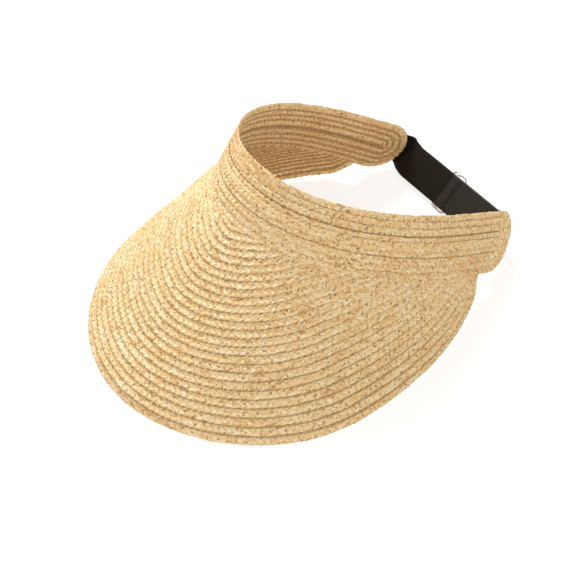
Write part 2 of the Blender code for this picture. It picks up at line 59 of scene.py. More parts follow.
# Braid ---------------------------------------------------------------------------
BRAID_WIDTH = 6.8 * MM
BRAID_THICKNESS = 0.9 * MM
LAP_GAP = 0.4 * MM

# Headband ------------------------------------------------------------------------
BAND_HALF_LENGTH = 237.0 * MM
BAND_HEIGHT = 42.3 * MM
BAND_LOOPS = 4
BAND_FRONT_Y = -91.0 * MM
BAND_FRONT_Z = 109.5 * MM
# From the front to the rear end, as Bezier values: bend per metre, fall, and lean
BAND_BEND = (15.1, 14.7, 2.3, -1.2)
BAND_FALL = (0.0, 0.53, 0.567, 0.57)
BAND_LEAN = (radians(33.4), radians(13.7), radians(7.6))

# Brim ----------------------------------------------------------------------------
BRIM_ROWS = 26
BRIM_HALF_WIDTH = 109.4 * MM
BRIM_FRONT_LENGTH = 104.3 * MM
BRIM_REAR_LENGTH = 164.0 * MM
BRIM_WIDEST_Y = -89.0 * MM
BRIM_ROUNDNESS = 1.91
BRIM_LIFT_ANGLE = radians(109.0)
BRIM_LIFT_HEIGHT = 3.9 * MM
BRIM_BOW_FRONT = 0.8 * MM
BRIM_BOW_SIDE = 9.0 * MM
BRIM_BOW_SPAN = 122.3 * MM
BRIM_ROW_PITCH = 5.005 * MM
BRIM_TAPER_ANGLE = radians(7.0)
BRIM_TAPER_SHARE = 0.9
TUCK_DEPTH = 2.4 * MM
TUCK_GAP = -0.6 * MM
ROW_END_WIDTH = 1.5 * MM

# Elastic -------------------------------------------------------------------------
STRAP_WIDTH = 24.0 * MM
STRAP_THICKNESS = 0.9 * MM
STRAP_TILT = radians(48.0)
STRAP_BEHIND_END = -2.2 * MM
STRAP_ABOVE_END = 0.6 * MM
STRAP_SEWN_LENGTH = 18.0 * MM
SEWN_END_MARGIN = 2.0 * MM
SEWN_HEIGHT = 1.8 * MM
SEWN_GAP = 0.5 * MM
STRAP_TURN = 13.0 * MM
STRAP_TURN_REACH = 12.0 * MM
STRAP_TURN_BULGE = 1.5 * MM
STRAP_LEAVE_REACH = 4.5 * MM
TAB_WIDTH = 20.0 * MM
TAB_SEWN_LENGTH = 16.0 * MM
TAB_OUTER_TURN = 5.0 * MM
TAB_INNER_TURN = 8.5 * MM
TAB_INNER_REACH = 2.5 * MM
RIBS = 13
RIB_DEPTH = 0.2 * MM

# Wire ----------------------------------------------------------------------------
WIRE_RADIUS = 0.65 * MM
RING_LENGTH = 8.0 * MM
RING_TO_BAND = 9.5 * MM
RING_CLEARANCE = 0.6 * MM
RING_CORNER = 2.0 * MM
ADJUSTER_LENGTH = 13.0 * MM
ADJUSTER_CORNER = 3.9 * MM
ADJUSTER_TO_RING = 42.0 * MM
ADJUSTER_PINCH = 0.9 * MM
LAYER_GAP = 0.35 * MM
FOLD_LENGTH = 7.0 * MM
TOUCH_GAP = 0.3 * MM

# Plait ---------------------------------------------------------------------------
STRANDS = 5
STRAND_WIDTH = 2.7 * MM
STRAND_THICKNESS = 0.6 * MM
STRAND_HEAVE = 0.24 * MM
PLAIT_PERIOD = 20.0 * MM
PLAIT_THICKNESS = STRAND_THICKNESS + 2 * STRAND_HEAVE
LAP_LIFT = 1.0 * MM
# Painted shade in the laps: share of the braid's width towards the lap where it starts and where it is
# full
LAP_SHADE_START = 0.11
LAP_SHADE_END = 0.26
CENTRE_ROW_OVERHANG = 3.0 * MM
CENTRE_ROW_SINK = 0.3 * MM
COIL_EYE_CLOSURE = 0.9 * MM

# The plait's unevenness: amount, longest wave along the braid, slant of the waves ---
WIDTH_WAVER = (0.05, 30.0 * MM, 0.0)
SIDE_DRIFT = (0.16 * MM, 55.0 * MM, 0.0)
SIDE_WOBBLE = (0.10 * MM, 7.0 * MM, 0.8)
HEAVE_WAVER = (0.08, 9.0 * MM, 1.0)
LIFT_DRIFT = (0.06 * MM, 40.0 * MM, 0.0)
STRAND_SLIP = (0.25 * MM, 8.0 * MM, 1.5)
# Each wave is shorter and fainter than the last, and their sum is divided by the total
WAVES = 5
WAVE_SHORTENS = 0.62
WAVE_FADES = 0.72
WAVE_TOTAL = 2.2
STREAK_SPREAD = 50
STREAK_SHIFT = STRANDS + 4

# Stitches ------------------------------------------------------------------------
STITCH_RADIUS = 0.16 * MM
STITCH_LIFT = TOUCH_GAP * 0.6
ZIGZAG_REACH = 0.8 * MM
ZIGZAG_PITCH = 0.75 * MM
TACK_MARGIN = 2.0 * MM
TACK_LENGTH = 1.6 * MM

# Colours -------------------------------------------------------------------------
STRAW_TONES = (
    (0.30, (0.52, 0.27, 0.08)),
    (0.42, (0.85, 0.54, 0.22)),
    (0.52, (0.96, 0.69, 0.34)),
    (0.66, (1.0, 0.90, 0.62)),
)
ROSY_STRAW = (0.95, 0.66, 0.43, 1.0)
GREEN_STRAW = (0.68, 0.55, 0.22, 1.0)
# Painted shade along the side edges of the strands, where they meet
PAINTED_STRAND_EDGE_SHADE = (0.42, 0.21, 0.06, 1.0)
# Painted shade beside and under the edge of the braid lapped over each row
PAINTED_LAP_SHADE = (0.30, 0.14, 0.035, 1.0)
SPECK_BROWN = (0.28, 0.13, 0.04, 1.0)
SATIN_BLACKS = ((0.005, 0.0045, 0.003, 1.0), (0.018, 0.016, 0.010, 1.0))
RIBBED_BLACKS = ((0.008, 0.007, 0.004, 1.0), (0.026, 0.022, 0.013, 1.0))
WIRE_GREYS = ((0.78, 0.77, 0.75, 1.0), (0.93, 0.92, 0.9, 1.0))
THREAD_BLACKS = ((0.008, 0.008, 0.007, 1.0), (0.035, 0.033, 0.028, 1.0))
PAPER_GREYS = ((0.29, 0.285, 0.28, 1.0), (0.31, 0.305, 0.30, 1.0))
PAPER_GLOWS = ((0.62, 0.50, 0.36, 1.0), (1.0, 0.985, 0.965, 1.0))

# Floor, light and camera ---------------------------------------------------------
FLOOR_SIZE = 6.0
FLOOR_GLOW = 0.78
ROOM_LIGHT = 0.72
LIGHT_AIM = Vector((0.0, 0.0, 0.03))
KEY_PLACE = Vector((-1.0, 0.45, 1.45))
KEY_SIZE = 0.5
KEY_POWER = 24.0
FILL_PLACE = Vector((1.2, -1.2, 1.3))
FILL_SIZE = 1.6
FILL_POWER = 6.0
CAMERA_AZIMUTH = radians(54.09)
CAMERA_ELEVATION = radians(45.24)
CAMERA_ROLL = radians(-1.51)
CAMERA_DISTANCE = 1.356
CAMERA_LENS = 132.3
CAMERA_AIM = Vector((-0.0235, 0.0038, -0.0098))

# Fineness ------------------------------------------------------------------------
CURVE_STEPS = 240
BRIM_RULINGS = 170
BRIM_LAST_RULING = 0.999
ATTACH_FINENESS = 1e-5
PARALLEL = 1e-12
BAND_STEP = 4.0 * MM
TURN_STEPS = 16
STRAND_STEPS = 16
STRAND_SIDES = 6
SEWN_STEPS = 6
STRAP_TURN_STEPS = 28
STRAP_STEPS = 10
RETURN_STEPS = 12
TAB_SEWN_STEPS = 4
TAB_TURN_STEPS = 14
FACE_STEPS = 8
EDGE_STEPS = 4
RIB_STEPS = 4
CORNER_STEPS = 10
HUMP_STEPS = 14
CLOTH_SHARP_ANGLE = radians(55)
WIRE_SHARP_ANGLE = radians(50)

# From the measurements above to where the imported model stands
FRONT_OF_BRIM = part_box("brim_row_01")[0][1]
SHIFT = Vector((0.0, FRONT_OF_BRIM - (BRIM_WIDEST_Y - BRIM_FRONT_LENGTH), 0.0))

rng = np.random.default_rng(7)


# Materials -----------------------------------------------------------------------
class Shade:
    """One socket in a material's node tree; sums on it add Math nodes."""

    def __init__(self, tree, socket=None):
        self.tree = tree
        self.socket = socket

    def node(self, kind, settings, sockets, output=0):
        """Add a node, set it, fill or link its sockets, and return one of its outputs."""
        made = self.tree.nodes.new(kind)
        for name, value in settings.items():
            if name == "stops":
                while len(made.color_ramp.elements) < len(value):
                    made.color_ramp.elements.new(1.0)
                for element, (place, colour) in zip(made.color_ramp.elements, value):
                    element.position = place
                    element.color = (*colour, 1.0)
            else:
                setattr(made, name, value)
        for key, value in sockets.items():
            if isinstance(value, Shade):
                self.tree.links.new(value.socket, made.inputs[key])
            else:
                made.inputs[key].default_value = value
        return Shade(self.tree, made.outputs[output])

    def maths(self, operation, *values):
        return self.node("ShaderNodeMath", {"operation": operation}, dict(enumerate(values)))

    def __add__(self, other):
        return self.maths("ADD", self, other)

    def __radd__(self, other):
        return self.maths("ADD", other, self)

    def __sub__(self, other):
        return self.maths("SUBTRACT", self, other)

    def __rsub__(self, other):
        return self.maths("SUBTRACT", other, self)

    def __mul__(self, other):
        return self.maths("MULTIPLY", self, other)

    def __rmul__(self, other):
        return self.maths("MULTIPLY", other, self)

    def __abs__(self):
        return self.maths("ABSOLUTE", self)

    def fract(self):
        """What is left of this value above the whole number below it."""
        return self.maths("FRACT", self)

    def uv(self, name):
        """Place in one of the piece's own UV maps."""
        return self.node("ShaderNodeUVMap", {"uv_map": name}, {})

    def place(self):
        """Place on the object, in metres."""
        return self.node("ShaderNodeTexCoord", {}, {}, 3)

    def stretched(self, x, y, z=1.0):
        """This vector with its axes scaled."""
        settings = {"operation": "MULTIPLY"}
        return self.node("ShaderNodeVectorMath", settings, {0: self, 1: (x, y, z)})

    def part(self, axis):
        """One axis of this vector."""
        return self.node("ShaderNodeSeparateXYZ", {}, {0: self}, axis)

    def noise(self, scale, detail=2.0, roughness=0.5):
        """Noise from 0 to 1 at this vector."""
        sockets = {"Vector": self, "Scale": scale, "Detail": detail, "Roughness": roughness}
        return self.node("ShaderNodeTexNoise", {}, sockets)

    def ramp(self, *stops):
        """Colour ramp of this value."""
        return self.node("ShaderNodeValToRGB", {"stops": stops}, {0: self})

    def between(self, low, high):
        """0 at low, 1 at high, smooth between, whichever of the two is the larger."""
        settings = {"interpolation_type": "SMOOTHSTEP"}
        sockets = {"Value": self, "From Min": low, "From Max": high}
        return self.node("ShaderNodeMapRange", settings, sockets)

    def mix(self, colour_a, colour_b):
        """Colour a where this value is 0 and colour b where it is 1."""
        sockets = {0: self, 6: colour_a, 7: colour_b}
        return self.node("ShaderNodeMix", {"data_type": "RGBA"}, sockets, 2)

    def bump(self, strength, distance):
        """Normal from this height."""
        sockets = {"Height": self, "Strength": strength, "Distance": distance}
        return self.node("ShaderNodeBump", {}, sockets)


def new_material(name):
    """A material with its shader and a Shade to build nodes with."""
    material = bpy.data.materials.new(name)
    material.use_nodes = True
    shader = material.node_tree.nodes["Principled BSDF"]
    return material, shader, Shade(material.node_tree)


def feed(shader, **sockets):
    """Link Shades to the shader's sockets and set plain values; _ stands for a space."""
    for name, value in sockets.items():
        slot = shader.inputs[name.replace("_", " ")]
        if isinstance(value, Shade):
            value.tree.links.new(value.socket, slot)
        else:
            slot.default_value = value


def raffia_material():
    """Streaks along every strand, rosy and green patches, brown specks, and painted shade at strand
    edges and laps.
    """
    material, shader, shade = new_material("raffia")
    uv = shade.uv("plait")
    place = shade.place()
    fibres = uv.stretched(4.0, 12.0).noise(1.0, 3.0, 0.6)
    strips = uv.stretched(1.8, 4.0).noise(1.0)
    patches = uv.stretched(0.7, 1.3).noise(1.0)
    blotches = place.noise(55.0)
    rosy = patches.between(0.5, 0.75) * blotches.between(0.4, 0.7)
    green = blotches.between(0.55, 0.3) * strips.between(0.5, 0.3)
    # Painted shade: brown along both side edges of every strand, where the strands meet
    from_middle = abs(uv.part(1).fract() - 0.5)
    strand_edge_shade = abs(from_middle - 0.25).between(0.12, 0.02)
    # Painted shade: brown towards the side of each braid that runs in under the braid lapped over it
    lap = shade.uv("lap").part(1).between(LAP_SHADE_START, LAP_SHADE_END)
    specks = place.noise(620.0, 1.0, 0.4).between(0.61, 0.70)
    tone = fibres * 0.45 + strips * 0.5 + patches * 0.55 - 0.25
    colour = tone.ramp(*STRAW_TONES)
    tints = (
        (rosy * 0.4, ROSY_STRAW),
        (green * 0.35, GREEN_STRAW),
        (strand_edge_shade * 0.4, PAINTED_STRAND_EDGE_SHADE),
        (lap * 0.62, PAINTED_LAP_SHADE),
        (specks * 0.8, SPECK_BROWN),
    )
    for amount, tint in tints:
        colour = amount.mix(colour, tint)
    height = fibres * 0.6 + strips * 0.4
    feed(
        shader,
        Base_Color=colour,
        Roughness=0.4 + fibres * 0.25,
        Specular_IOR_Level=0.7,
        Normal=height.bump(0.6, 0.25 * MM),
    )
    return material


def satin_material():
    """Fine lines along the smooth side of the elastic."""
    material, shader, shade = new_material("black satin elastic")
    uv = shade.uv("cloth")
    lines = uv.stretched(14.0, 1500.0).noise(1.0)
    slow = uv.stretched(60.0, 90.0).noise(1.0)
    feed(
        shader,
        Base_Color=lines.mix(*SATIN_BLACKS),
        Roughness=0.42 + slow * 0.2,
        Specular_IOR_Level=0.14,
        Normal=lines.bump(0.35, 0.1 * MM),
    )
    return material


def ribbed_material():
    """Fine weave over the elastic's modelled ribs."""
    material, shader, shade = new_material("black ribbed elastic")
    uv = shade.uv("cloth")
    weave = uv.stretched(1400.0, 2600.0).noise(1.0)
    slow = uv.stretched(40.0, 160.0).noise(1.0)
    tone = weave * 0.6 + slow * 0.4
    feed(
        shader,
        Base_Color=tone.mix(*RIBBED_BLACKS),
        Roughness=0.5 + weave * 0.2,
        Specular_IOR_Level=0.3,
        Normal=weave.bump(0.5, 0.12 * MM),
    )
    return material


def wire_material():
    """Bright plating, dull in spots, with fine scratches."""
    material, shader, shade = new_material("bright wire")
    place = shade.place()
    scratches = place.stretched(900.0, 900.0, 5000.0).noise(1.0, 3.0, 0.6)
    dull = place.noise(420.0)
    feed(
        shader,
        Base_Color=dull.mix(*WIRE_GREYS),
        Metallic=1.0,
        Roughness=0.12 + scratches * 0.16,
        Normal=scratches.bump(0.15, 0.05 * MM),
    )
    return material


def thread_material():
    """Twisted black sewing thread."""
    material, shader, shade = new_material("black thread")
    twist = shade.place().stretched(4000.0, 9000.0, 9000.0).noise(1.0)
    feed(
        shader,
        Base_Color=twist.mix(*THREAD_BLACKS),
        Roughness=0.55,
        Normal=twist.bump(0.6, 0.08 * MM),
    )
    return material


def paper_material():
    """White paper: pale to look at, warmer and fainter where it lights the visor."""
    material, shader, shade = new_material("pale floor")
    grain = shade.place().noise(30.0)
    looked_at = shade.node("ShaderNodeLightPath", {}, {})  # its first output, Is Camera Ray
    feed(
        shader,
        Base_Color=grain.mix(*PAPER_GREYS),
        Roughness=0.9,
        Specular_IOR_Level=0.1,
        Emission_Color=looked_at.mix(*PAPER_GLOWS),
        Emission_Strength=FLOOR_GLOW,
    )
    return material


# Small helpers -------------------------------------------------------------------
def bezier(values, t):
    """Value at t of the Bezier curve through the given control values."""
    n = len(values) - 1
    total = values[0] * 0.0
    for i, value in enumerate(values):
        total += value * (comb(n, i) * (1 - t) ** (n - i) * t ** i)
    return total


def mirrored(point):
    """The point or direction on the visor's other side."""
    return Vector((-point.x, point.y, point.z))


def take_mesh(bm, name):
    """The bmesh as a new mesh; the bmesh itself goes."""
    mesh = bpy.data.meshes.new(name)
    bm.to_mesh(mesh)
    bm.free()
    return mesh


def evaluated_mesh(guide):
    """A guide object's finished mesh; the guide itself goes."""
    bpy.context.collection.objects.link(guide)
    graph = bpy.context.evaluated_depsgraph_get()
    mesh = bpy.data.meshes.new_from_object(guide.evaluated_get(graph))
    bpy.data.objects.remove(guide)
    return mesh


def shade_smooth(mesh, sharp_angle):
    """Smooth shading, but for edges sharper than an angle."""
    mesh.shade_smooth()
    mesh.set_sharp_from_angle(angle=sharp_angle)
    return mesh


def add_piece(name, mesh, material, body, slot, *nodes):
    """Make the mesh a piece that stands for some nodes, riding on a body if one is given."""
    mesh.materials.clear()
    mesh.materials.append(material)
    piece = bpy.data.objects.new(name, mesh)
    bpy.context.collection.objects.link(piece)
    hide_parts(*nodes)
    if body:
        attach(piece, body)
    return piece


# Headband surface ----------------------------------------------------------------
class HeadbandSurface:
    """The band's inner face, addressed by length from the front and height from its middle."""

    def __init__(self):
        self.step = BAND_HALF_LENGTH / CURVE_STEPS
        self.frames = []
        place = Vector((0.0, BAND_FRONT_Y, BAND_FRONT_Z))
        angle = 0.0
        for i in range(CURVE_STEPS + 1):
            t = i / CURVE_STEPS
            fall = bezier(BAND_FALL, t)
            level = sqrt(1 - fall ** 2)
            along = Vector((cos(angle) * level, sin(angle) * level, -fall))
            outward = Vector((sin(angle), -cos(angle), 0.0))
            upright = outward.cross(along)
            if upright.z < 0:
                upright.negate()
            lean = bezier(BAND_LEAN, t)
            across = upright * cos(lean) - outward * sin(lean)
            face = outward * cos(lean) + upright * sin(lean)
            self.frames.append((place.copy(), along, across, face))
            place += along * self.step
            angle += bezier(BAND_BEND, (i + 0.5) / CURVE_STEPS) * self.step

    def frame(self, s):
        """Middle-line point and the along, across and outward directions at length s >= 0."""
        position = min(max(s / self.step, 0.0), CURVE_STEPS - 1e-6)
        i = int(position)
        share = position - i
        mixed = [a.lerp(b, share) for a, b in zip(self.frames[i], self.frames[i + 1])]
        mixed[0] += mixed[1] * (s - min(max(s, 0.0), BAND_HALF_LENGTH))
        return mixed

    def point(self, s, height, depth):
        """Point at signed length s, height above the middle and depth outwards."""
        place, _, across, face = self.frame(abs(s))
        place = place + across * height + face * depth
        return mirrored(place) if s < 0 else place


# Headband braid routes: each station is (near skin, far skin, normal, furthest side) ---
def lap_rise(pitch):
    """How far the lapping side of a braid is raised, for braids at a pitch."""
    return (BRAID_THICKNESS + LAP_GAP) * BRAID_WIDTH / pitch


LOOP_PITCH = (BAND_HEIGHT - BRAID_WIDTH) / 2 / BAND_LOOPS
LOOP_RISE = lap_rise(LOOP_PITCH)
BAND_DEPTH = LOOP_RISE + BRAID_THICKNESS
END_CENTRE = BAND_HALF_LENGTH - BAND_HEIGHT / 2


def centre_row_route(surface):
    """Straight along the band's middle, from end to end."""
    steps = ceil(2 * END_CENTRE / BAND_STEP)
    end = END_CENTRE + CENTRE_ROW_OVERHANG
    depth = LOOP_RISE - BAND_DEPTH - CENTRE_ROW_SINK
    route = []
    for i in range(steps + 1):
        s = end * (1 - 2 * i / steps)
        low = surface.point(s, -BRAID_WIDTH / 2, depth)
        high = surface.point(s, BRAID_WIDTH / 2, depth)
        skin = surface.point(s, 0.0, depth + BRAID_THICKNESS) - surface.point(s, 0.0, depth)
        route.append((low, high, skin, BRAID_WIDTH))
    return route


def coil_route(surface):
    """Round and round the centre row, the outer side of each loop lapped over the next."""
    straight = ceil(2 * END_CENTRE / BAND_STEP)
    eye_start = TURN_STEPS // 2
    tail_end = TURN_STEPS * 3 // 4
    tail_step = LOOP_PITCH / 3
    route = []

    def add(s, height, turn):
        away_s = cos(turn) * BRAID_WIDTH / 2
        away_h = sin(turn) * BRAID_WIDTH / 2
        near = surface.point(s - away_s, height - away_h, -BAND_DEPTH)
        far = surface.point(s + away_s, height + away_h, LOOP_RISE - BAND_DEPTH)
        skin = surface.point(s, height, 0.0) - surface.point(s, height, -BRAID_THICKNESS)
        route.append((near, far, skin, BRAID_WIDTH))

    def add_run(height, sign):
        turn = pi / 2 if height > 0 else -pi / 2
        for i in range(1, straight):
            add(sign * END_CENTRE * (1 - 2 * i / straight), height, turn)

    def add_turn(side, radius_from, radius_to, upwards, first=0, last=TURN_STEPS):
        for i in range(first, last + 1):
            share = i / TURN_STEPS
            angle = (share - 0.5) * pi if upwards else (0.5 - share) * pi
            radius = radius_from + (radius_to - radius_from) * share
            turn = angle if side > 0 else pi - angle
            add(side * (END_CENTRE + radius * cos(angle)), radius * sin(angle), turn)

    radii = [LOOP_PITCH * (loop + 1) for loop in range(BAND_LOOPS + 1)]
    radii[0] -= COIL_EYE_CLOSURE
    radii[-1] = radii[-2] - tail_step
    add_turn(-1, radii[0], radii[0], True, first=eye_start)
    for radius, following in zip(radii, radii[1:]):
        add_run(radius, -1)
        add_turn(1, radius, radius, False)
        add_run(-radius, 1)
        is_tail = following < radius
        add_turn(-1, radius, following, True, last=tail_end if is_tail else TURN_STEPS)
    return route


# Brim surface and its braid routes -----------------------------------------------
class BrimSurface:
    """Straight, slightly bowed rulings from the brim's outer edge to the cut behind the band."""

    def __init__(self, band):
        self.tuck = self.tuck_line(band)
        self.attach_angle = self.find_attach()
        last = self.attach_angle * BRIM_LAST_RULING
        count = BRIM_RULINGS
        self.rulings = [self.ruling(last * i / count) for i in range(-count, count + 1)]

    def tuck_line(self, band):
        """Where the brim's rows are cut, behind the band's lower edge."""
        height = TUCK_DEPTH - BAND_HEIGHT / 2
        depth = -BAND_DEPTH - BRAID_THICKNESS - TUCK_GAP
        steps = range(-CURVE_STEPS, CURVE_STEPS + 1)
        return [band.point(BAND_HALF_LENGTH * i / CURVE_STEPS, height, depth) for i in steps]

    def edge_plan(self, angle):
        """Plan point of the outer edge at an angle from the front."""
        if abs(angle) <= pi / 2:
            power = 2 / BRIM_ROUNDNESS
            x = BRIM_HALF_WIDTH * abs(sin(angle)) ** power
            y = BRIM_WIDEST_Y - BRIM_FRONT_LENGTH * abs(cos(angle)) ** power
        else:
            x = BRIM_HALF_WIDTH * abs(sin(angle))
            y = BRIM_WIDEST_Y - BRIM_REAR_LENGTH * cos(angle)
        return Vector((x if angle >= 0 else -x, y, 0.0))

    def edge_inward(self, angle):
        """Unit plan direction from the edge towards the head."""
        step = radians(0.5)
        along = self.edge_plan(angle + step) - self.edge_plan(angle - step)
        return Vector((-along.y, along.x, 0.0)).normalized()

    def meet_tuck(self, start, direction):
        """Signed reach to the nearest point of the tuck line on a plan line, and the point."""
        nearest = None
        for a, b in zip(self.tuck, self.tuck[1:]):
            side = b - a
            gap = a - start
            cross = direction.x * side.y - direction.y * side.x
            if abs(cross) < PARALLEL:
                continue
            reach = (gap.x * side.y - gap.y * side.x) / cross
            share = (gap.x * direction.y - gap.y * direction.x) / cross
            if 0 <= share <= 1 and (nearest is None or abs(reach) < abs(nearest[0])):
                nearest = (reach, a + side * share)
        return nearest

    def find_attach(self):
        """Edge angle at which the edge runs in under the band."""
        angle = pi / 2
        step = radians(1)
        while step > ATTACH_FINENESS:
            following = angle + step
            met = self.meet_tuck(self.edge_plan(following), self.edge_inward(following))
            if met is None or met[0] < 0:
                step /= 2
            else:
                angle = following
        return angle

    def ruling(self, angle):
        """Edge point, vector to the tuck line, bow and edge direction at an angle."""
        edge = self.edge_plan(angle)
        inward = self.edge_inward(angle)
        _, tuck = self.meet_tuck(edge, inward)
        lift = max(0.0, (abs(angle) - BRIM_LIFT_ANGLE) / (self.attach_angle - BRIM_LIFT_ANGLE))
        edge.z = BRIM_LIFT_HEIGHT * lift ** 2
        span = tuck - edge
        taper = max(0.0, 1 - (self.attach_angle - abs(angle)) / BRIM_TAPER_ANGLE)
        edge += span * (BRIM_TAPER_SHARE * taper ** 2)
        span = tuck - edge
        bow = BRIM_BOW_FRONT + (BRIM_BOW_SIDE - BRIM_BOW_FRONT) * sin(angle) ** 2
        bow *= span.length / BRIM_BOW_SPAN
        along = Vector((inward.y, -inward.x, 0.0))
        return edge, span, bow, along

    def point(self, ruling, distance):
        """Surface point at a distance from the edge, and its normal."""
        edge, span, bow, along = ruling
        t = distance / span.length
        rise = 4 * bow * t * (1 - t) if t < 1 else -4 * bow * (t - 1)
        slope = 4 * bow * (1 - 2 * min(t, 1.0))
        inward = (span + UP * slope).normalized()
        normal = along.cross(inward)
        if normal.z < 0:
            normal.negate()
        return edge + span * t + UP * rise, normal.normalized()


def brim_row_route(surface, row):
    """Stations of a row, raised at its outer edge and cut where its ruling ends."""
    rise = lap_rise(BRIM_ROW_PITCH) if row else 0.0
    outer = row * BRIM_ROW_PITCH
    needed = outer + ROW_END_WIDTH
    rulings = surface.rulings
    inside = [i for i, ruling in enumerate(rulings) if ruling[1].length >= needed]
    first, last = inside[0], inside[-1]
    stations = [rulings[i] for i in range(first, last + 1)]
    if first > 0:
        stations.insert(0, end_station(rulings[first - 1], rulings[first], needed))
        stations.append(end_station(rulings[last + 1], rulings[last], needed))
    route = []
    for station in stations:
        low, normal = surface.point(station, outer)
        inner, _ = surface.point(station, outer + BRAID_WIDTH)
        cut = station[1].length - outer - BRAID_WIDTH / 2
        route.append((low + normal * rise, inner, normal, cut))
    return route


def end_station(short, long, needed):
    """The station between two rulings whose length is just what the row needs."""
    share = (needed - short[1].length) / (long[1].length - short[1].length)
    return tuple(x + (y - x) * share for x, y in zip(short, long))


# Plait: a straight period of crossing strands, repeated, then laid along a route ---
def plait_period():
    """One straight period of the plait along +X, with its UV map.

    Every strand is a flattened tube, open at both ends, whose seam lies underneath.
    """
    bm = bmesh.new()
    uv = bm.loops.layers.uv.new("plait")
    reach = (BRAID_WIDTH - STRAND_WIDTH) / 2
    for strand in range(STRANDS):
        grid = bmesh.ops.create_grid(bm, x_segments=STRAND_STEPS, y_segments=STRAND_SIDES, size=0.5)
        for face in {face for vert in grid["verts"] for face in vert.link_faces}:
            for loop in face.loops:
                loop[uv].uv = (loop.vert.co.x + 0.5, loop.vert.co.y + 0.5 + strand)
        for vert in grid["verts"]:
            share = vert.co.x + 0.5
            around = 2 * pi * (vert.co.y + 0.25)
            phase = 2 * pi * (share + strand / STRANDS)
            slope = 2 * pi * reach / PLAIT_PERIOD * cos(phase)
            level = sqrt(1 + slope ** 2)
            side = cos(around) * STRAND_WIDTH / 2 / level
            vert.co = (
                share * PLAIT_PERIOD - side * slope,
                reach * sin(phase) + side,
                STRAND_HEAVE * sin((STRANDS - 1) * phase) + sin(around) * STRAND_THICKNESS / 2,
            )
    bmesh.ops.remove_doubles(bm, verts=bm.verts, dist=0.01 * MM)
    return take_mesh(bm, "plait period")


def straight_plait(period, count):
    """The period repeated count times and closed at both ends."""
    guide = bpy.data.objects.new("straight plait", period)
    array = guide.modifiers.new("repeat", "ARRAY")
    array.count = count
    array.use_relative_offset = False
    array.use_constant_offset = True
    array.constant_offset_displace = (PLAIT_PERIOD, 0.0, 0.0)
    array.use_merge_vertices = True
    array.merge_threshold = 0.01 * MM
    array.offset_u = 1.0
    mesh = evaluated_mesh(guide)
    bm = bmesh.new()
    bm.from_mesh(mesh)
    bmesh.ops.holes_fill(bm, edges=[edge for edge in bm.edges if edge.is_boundary], sides=0)
    bmesh.ops.recalc_face_normals(bm, faces=bm.faces)
    bm.to_mesh(mesh)
    bm.free()
    return mesh


def uneven(along, across, amount, longest, slant):
    """Smooth random sum of waves over the plait, from about -amount to amount."""
    places = along + across * slant
    total = np.zeros(len(places))
    for i in range(WAVES):
        length = longest * WAVE_SHORTENS ** i
        total += np.sin(2 * pi * (places / length + rng.random())) * WAVE_FADES ** i
    return amount * (total / WAVE_TOTAL)


def route_lines(route):
    """Middle line, across and upward directions at a route's stations, and lengths to them."""
    near, far, up = (np.array([station[i] for station in route]) for i in range(3))
    middle = (near + far) / 2 + SHIFT
    across = far - near
    across /= np.linalg.norm(across, axis=1)[:, None]
    up -= across * (up * across).sum(1)[:, None]
    up /= np.linalg.norm(up, axis=1)[:, None]
    steps = np.linalg.norm(np.diff(middle, axis=0), axis=1)
    return middle, across, up, np.concatenate([[0.0], np.cumsum(steps)])


def mark_lap(mesh, along, towards_lap):
    """UV map "lap": length along the braid, and share of its width towards the lap, for the painted lap
    shade.
    """
    corners = np.empty(len(mesh.loops), dtype=np.int32)
    mesh.loops.foreach_get("vertex_index", corners)
    places = np.stack([along, towards_lap], axis=1)[corners]
    mesh.uv_layers.new(name="lap").data.foreach_set("uv", places.ravel())


def move_streaks(mesh, index):
    """Shift the UV map "plait", so that no two braids have the same streaks."""
    uv = np.empty(len(mesh.loops) * 2)
    layer = mesh.uv_layers["plait"].data
    layer.foreach_get("uv", uv)
    uv[0::2] += rng.random() * STREAK_SPREAD
    uv[1::2] += index * STREAK_SHIFT
    layer.foreach_set("uv", uv)


def lay_plait(name, route, period, index, hidden):
    """A plait laid along a route, as a mesh.

    The hidden side, -1 near or 1 far, rises to touch the plait that laps over it.
    """
    middle, across, up, lengths = route_lines(route)
    count = max(1, round(lengths[-1] / PLAIT_PERIOD))
    mesh = straight_plait(period, count)
    co = np.empty(len(mesh.vertices) * 3)
    mesh.vertices.foreach_get("co", co)
    straight_along, straight_side, straight_lift = co.reshape(-1, 3).T
    along = straight_along * lengths[-1] / (count * PLAIT_PERIOD)

    def waves(kind):
        return uneven(along, straight_side, *kind)

    side = straight_side * (1 + waves(WIDTH_WAVER)) + waves(SIDE_DRIFT)
    side += waves(SIDE_WOBBLE)
    lift = straight_lift * (1 + waves(HEAVE_WAVER))
    lift += PLAIT_THICKNESS / 2 + LIFT_DRIFT[0] + waves(LIFT_DRIFT)
    lap = np.clip(hidden * side / (BRAID_WIDTH / 2), 0.0, 1.0)
    lift += LAP_LIFT * lap * lap * (3 - 2 * lap)
    along = np.clip(along + waves(STRAND_SLIP), 0.0, lengths[-1])
    side = np.minimum(side, np.interp(along, lengths, [station[3] for station in route]))

    def at(values):
        return np.stack([np.interp(along, lengths, values[:, i]) for i in range(3)], axis=1)

    laid = at(middle) + at(across) * side[:, None] + at(up) * lift[:, None]
    mesh.vertices.foreach_set("co", laid.ravel())
    mark_lap(mesh, along, hidden * side / BRAID_WIDTH)
    move_streaks(mesh, index)
    mesh.shade_smooth()
    mesh.name = name
    mesh.update()
    return mesh


